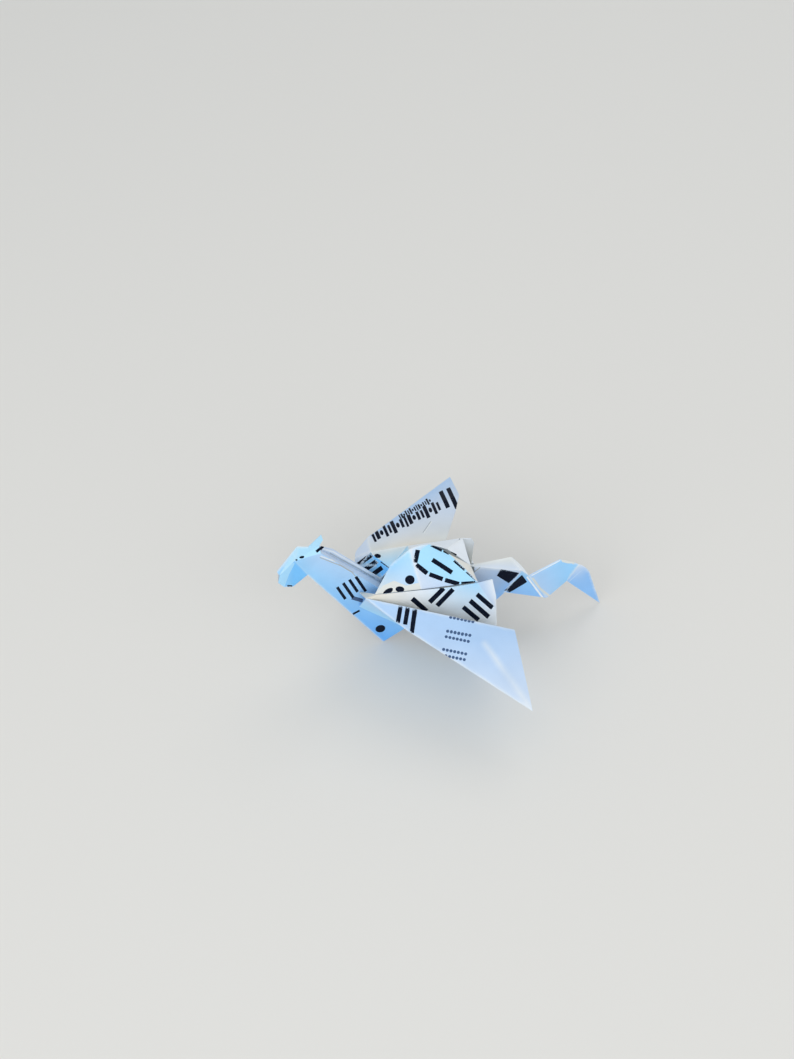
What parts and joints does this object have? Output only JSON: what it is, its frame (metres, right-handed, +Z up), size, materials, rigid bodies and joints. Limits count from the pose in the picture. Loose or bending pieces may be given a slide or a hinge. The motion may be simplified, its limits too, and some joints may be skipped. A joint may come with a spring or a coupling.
{
  "type": "origami dragon",
  "caption": "Small dragon folded from one square of printed ticket paper: head with horn and open mouth, V-folded neck, humped back, pleated wings and zigzag tail.",
  "frame": {"origin": "under the middle of the whole figure, on the surface that it stands on", "axes": "+X towards the tail tip, +Y towards the far wing, +Z up"},
  "size_m": [0.058, 0.054, 0.0306],
  "materials": {
    "printed_paper": "matt white printed paper with soft crease wear"
  },
  "bodies": {
    "root": {"folded_sheet": "printed_paper"}
  },
  "joints": []
}
